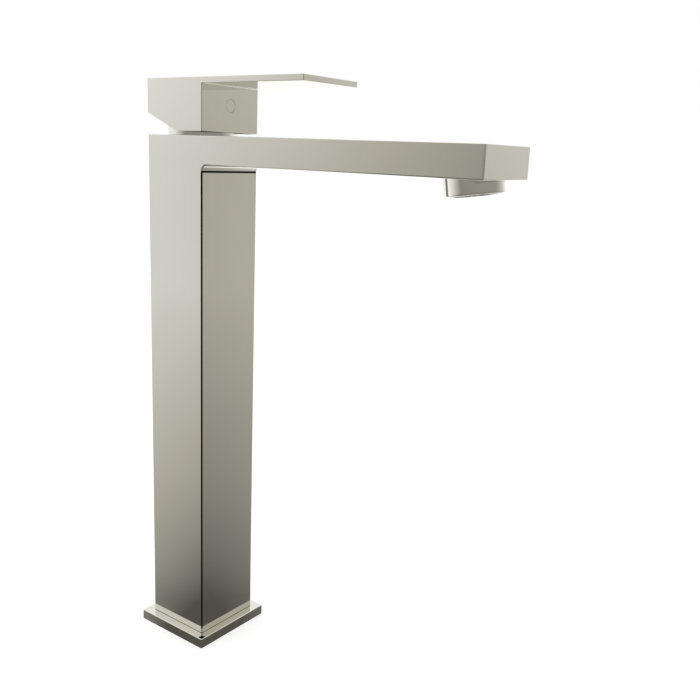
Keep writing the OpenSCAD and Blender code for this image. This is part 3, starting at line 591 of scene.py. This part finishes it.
def camera():
    """The photograph's viewpoint, solved from the tap's straight edges."""
    az, el, roll = radians(CAMERA_AZ), radians(CAMERA_EL), radians(CAMERA_ROLL)
    back = Vector((sin(az) * cos(el), -cos(az) * cos(el), sin(el)))
    right = Vector((cos(az), sin(az), 0))
    up = back.cross(right)
    x_axis = cos(roll) * right + sin(roll) * up
    y_axis = -sin(roll) * right + cos(roll) * up
    place_at = (back * CAMERA_BACK + x_axis * CAMERA_RIGHT + y_axis * CAMERA_UP) * MM
    data = bpy.data.cameras.new("camera")
    data.sensor_fit, data.sensor_width, data.lens = "HORIZONTAL", SENSOR, LENS
    data.clip_start, data.clip_end = CLIP_START, CLIP_END
    obj = bpy.data.objects.new("camera", data)
    turn = Matrix((x_axis, y_axis, back)).transposed().to_4x4()
    obj.matrix_world = Matrix.Translation(place_at) @ turn
    bpy.context.scene.collection.objects.link(obj)
    bpy.context.scene.camera = obj


camera()


# Studio

# Strength of the world as a light, the floor's glow to the eye, and the rings of its mesh
WORLD_LIGHT, FLOOR_GLOW, FLOOR_RINGS, FLOOR_STEPS = 0.85, 0.37, [0, 0.4, 1.5, 5, 20], 96
# Plain reflection cards on the camera's side, dark behind the camera and fading to white at their ends, so
# that metal shows the white background on the other side. Tone by direction in degrees anticlockwise from +X
SIDE = [(111, 1.0), (130, 0.80), (165, 0.30), (290, 0.30), (320, 0.55), (340, 0.85), (351, 1.0)]
# Directions between which the ground card comes in and goes out
FADE_IN, FADE_OUT = (111, 130), (335, 351)
# The wall card's gain by height, and the share of the tone that the ground card keeps by distance
WALL_GAIN = [(0.25, 1.0), (0.45, 1.15)]
GROUND = [(0.05, 0.33), (0.30, 0.70), (1.20, 1.0)]
# Colour of the cards from dark to white, warm between
WARM = [(0.0, (0.0, 0.0, 0.0)), (0.5, (0.50, 0.49, 0.44)), (1.0, (1.0, 1.0, 1.0))]
# The cards' steps round the full circle, those where they start and end, and the rings of each, (r, z)
CARD_STEPS, CARD_FIRST, CARD_LAST = 120, 37, 117
WALL_RINGS = [(1.2, 0.0), (1.2, 0.6), (1.2, 2.5)]
GROUND_RINGS = [(0.024, 0.4 * MM), (0.2, 0.4 * MM), (1.2, 0.4 * MM)]
# The black strip: gap to the column, how far each arm runs along its face and away from it, its foot
FLAG_GAP, FLAG_FOOT = 0.1 * MM, 2 * MM
FLAG_LEFT, FLAG_FRONT = (1.15 * MM, 1.15 * MM), (1.45 * MM, 0.9 * MM)
# Lamps: name, place, width and power, and the point that they face
LAMPS = [("lamp_top", (-0.5, 0.2, 1.7), 1.6, 6.0), ("lamp_front", (0.9, -1.1, 1.1), 1.0, 2.0)]
LAMPS_FACE = (0, 0, 0.12)


def seen(tree):
    """1 for rays from the camera and for those that metal and glass send on, 0 for the rest."""
    path = add(tree, "ShaderNodeLightPath").outputs
    one = add(tree, "ShaderNodeMath", {0: path["Is Camera Ray"], 1: path["Is Glossy Ray"]},
              operation="MAXIMUM").outputs[0]
    return add(tree, "ShaderNodeMath", {0: one, 1: path["Is Transmission Ray"]},
               operation="MAXIMUM").outputs[0]


def world():
    """White surroundings, a little dimmer as a light than to the eye."""
    studio = bpy.data.worlds.new("studio")
    bpy.context.scene.world = studio
    studio.use_nodes = True
    tree = studio.node_tree
    tree.nodes.clear()
    strength = between(tree, seen(tree), 0, 1, WORLD_LIGHT, 1.0)
    light = add(tree, "ShaderNodeBackground", {"Color": (1, 1, 1, 1), "Strength": strength})
    add(tree, "ShaderNodeOutputWorld", {"Surface": light.outputs[0]})


def floor():
    """Wide pale floor that keeps the tap's shadow."""
    bm = bmesh.new()
    angles = [2 * pi * i / FLOOR_STEPS for i in range(FLOOR_STEPS)]
    rows = [ring(bm, r, 0, angles) for r in FLOOR_RINGS]
    for a, b in zip(rows, rows[1:]):
        for i in range(FLOOR_STEPS):
            j = (i + 1) % FLOOR_STEPS
            bm.faces.new([a[0], b[i], b[j]] if len(a) == 1 else [a[i], b[i], b[j], a[j]])
    obj = object_of("floor", bm)
    mat, tree = bare_material("floor_pale")
    tone = ramp(tree, noise(tree, 3.0, detail=2), [(0.3, (0.80, 0.80, 0.795)), (0.7, (0.82, 0.82, 0.815))])
    matt = add(tree, "ShaderNodeBsdfDiffuse", {"Color": tone})
    glow = add(tree, "ShaderNodeEmission", {"Color": (1, 1, 1, 1),
               "Strength": between(tree, seen(tree), 0, 1, 0, FLOOR_GLOW)})
    both = add(tree, "ShaderNodeAddShader", {0: matt.outputs[0], 1: glow.outputs[0]})
    add(tree, "ShaderNodeOutputMaterial", {"Surface": both.outputs[0]})
    obj.data.materials.append(mat)


def direction(tree, x, y):
    """Direction of a point seen from the axis, as a share of a full turn."""
    angle = add(tree, "ShaderNodeMath", {0: y, 1: x}, operation="ARCTAN2").outputs[0]
    share = add(tree, "ShaderNodeMath", {0: angle, 1: 2 * pi}, operation="DIVIDE").outputs[0]
    return add(tree, "ShaderNodeMath", {0: share}, operation="FRACT").outputs[0]


def side_tone(tree, share):
    """Tone of the cards in a direction."""
    return ramp(tree, share, [(angle / 360, tone) for angle, tone in SIDE])


def times(tree, first, second):
    """Product of two values."""
    return add(tree, "ShaderNodeMath", {0: first, 1: second}, operation="MULTIPLY").outputs[0]


def wall_level(tree, x, y, z):
    """Tone of the wall card, a little brighter high up."""
    (low, dim), (high, bright) = WALL_GAIN
    return times(tree, side_tone(tree, direction(tree, x, y)), between(tree, z, low, high, dim, bright))


def ground_level(tree, x, y):
    """Tone of the ground card, darker near the tap and fading to white at its ends."""
    flat = add(tree, "ShaderNodeCombineXYZ", {"X": x, "Y": y}).outputs[0]
    far = add(tree, "ShaderNodeVectorMath", {0: flat}, operation="LENGTH").outputs["Value"]
    decades = add(tree, "ShaderNodeMath", {0: far, 1: 10.0}, operation="LOGARITHM").outputs[0]
    near, wide = log10(GROUND[0][0]), log10(GROUND[-1][0])
    tone = ramp(tree, between(tree, decades, near, wide, 0, 1),
                [((log10(r) - near) / (wide - near), v) for r, v in GROUND])
    share = direction(tree, x, y)
    start = between(tree, share, FADE_IN[0] / 360, FADE_IN[1] / 360, 0, 1)
    end = between(tree, share, FADE_OUT[0] / 360, FADE_OUT[1] / 360, 1, 0)
    kept = between(tree, times(tree, start, end), 0, 1, 1.0, tone)
    return times(tree, kept, side_tone(tree, share))


def card_material(name, on_floor):
    """Soft grey card with a tone by direction and distance, for reflections alone."""
    mat, tree = bare_material(name)
    where = add(tree, "ShaderNodeTexCoord").outputs["Object"]
    x, y, z = add(tree, "ShaderNodeSeparateXYZ", {0: where}).outputs
    level = ground_level(tree, x, y) if on_floor else wall_level(tree, x, y, z)
    light = add(tree, "ShaderNodeEmission", {"Color": ramp(tree, level, WARM), "Strength": 1.0})
    add(tree, "ShaderNodeOutputMaterial", {"Surface": light.outputs[0]})
    return mat


def reflections_only(obj):
    """Lets nothing but reflections see a stage object."""
    obj.visible_camera = obj.visible_diffuse = obj.visible_transmission = False
    obj.visible_volume_scatter = obj.visible_shadow = False


def cards():
    """A curved wall card and a flat ground card, on the camera's side only."""
    angles = [2 * pi * i / CARD_STEPS for i in range(CARD_FIRST, CARD_LAST + 1)]
    for name, profile, on_floor in (("card_wall", WALL_RINGS, False), ("card_ground", GROUND_RINGS, True)):
        bm = bmesh.new()
        rings = [ring(bm, r, z, angles) for r, z in profile]
        for a, b in zip(rings, rings[1:]):
            for i in range(len(angles) - 1):
                bm.faces.new((a[i], a[i + 1], b[i + 1], b[i]))
        obj = object_of(name, bm)
        obj.data.materials.append(card_material(name, on_floor))
        reflections_only(obj)


def corner_flag():
    """Narrow black strip just off the column's front left edge, for reflections alone."""
    bm = bmesh.new()
    near, (along_left, off_left), (along_front, off_front) = HALF + FLAG_GAP, FLAG_LEFT, FLAG_FRONT
    ends = [(-near - off_left, -near + along_left), (-near, -near), (-near + along_front, -near - off_front)]
    rows = [[bm.verts.new((x, y, z)) for x, y in ends] for z in (BASE_T + FLAG_FOOT, SEAM_Z)]
    for i in (0, 1):
        bm.faces.new((rows[0][i], rows[0][i + 1], rows[1][i + 1], rows[1][i]))
    obj = object_of("flag_corner", bm)
    mat, tree, bsdf = material("flag_black")
    tone = ramp(tree, noise(tree, 40), [(0.3, 0.004), (0.7, 0.008)])
    tree.links.new(tone, bsdf.inputs["Base Color"])
    bsdf.inputs["Roughness"].default_value = 0.9
    bsdf.inputs["Specular IOR Level"].default_value = 0.0
    obj.data.materials.append(mat)
    reflections_only(obj)


def lamps():
    """Two large soft lamps."""
    for name, at, size, power in LAMPS:
        data = bpy.data.lights.new(name, "AREA")
        data.shape, data.size, data.energy = "DISK", size, power
        obj = bpy.data.objects.new(name, data)
        obj.location = at
        obj.rotation_euler = (Vector(LAMPS_FACE) - Vector(at)).to_track_quat("-Z", "Y").to_euler()
        obj.visible_glossy = False
        obj.visible_camera = False
        bpy.context.scene.collection.objects.link(obj)


world()
floor()
cards()
corner_flag()
lamps()
bpy.context.scene.view_settings.view_transform = "Standard"
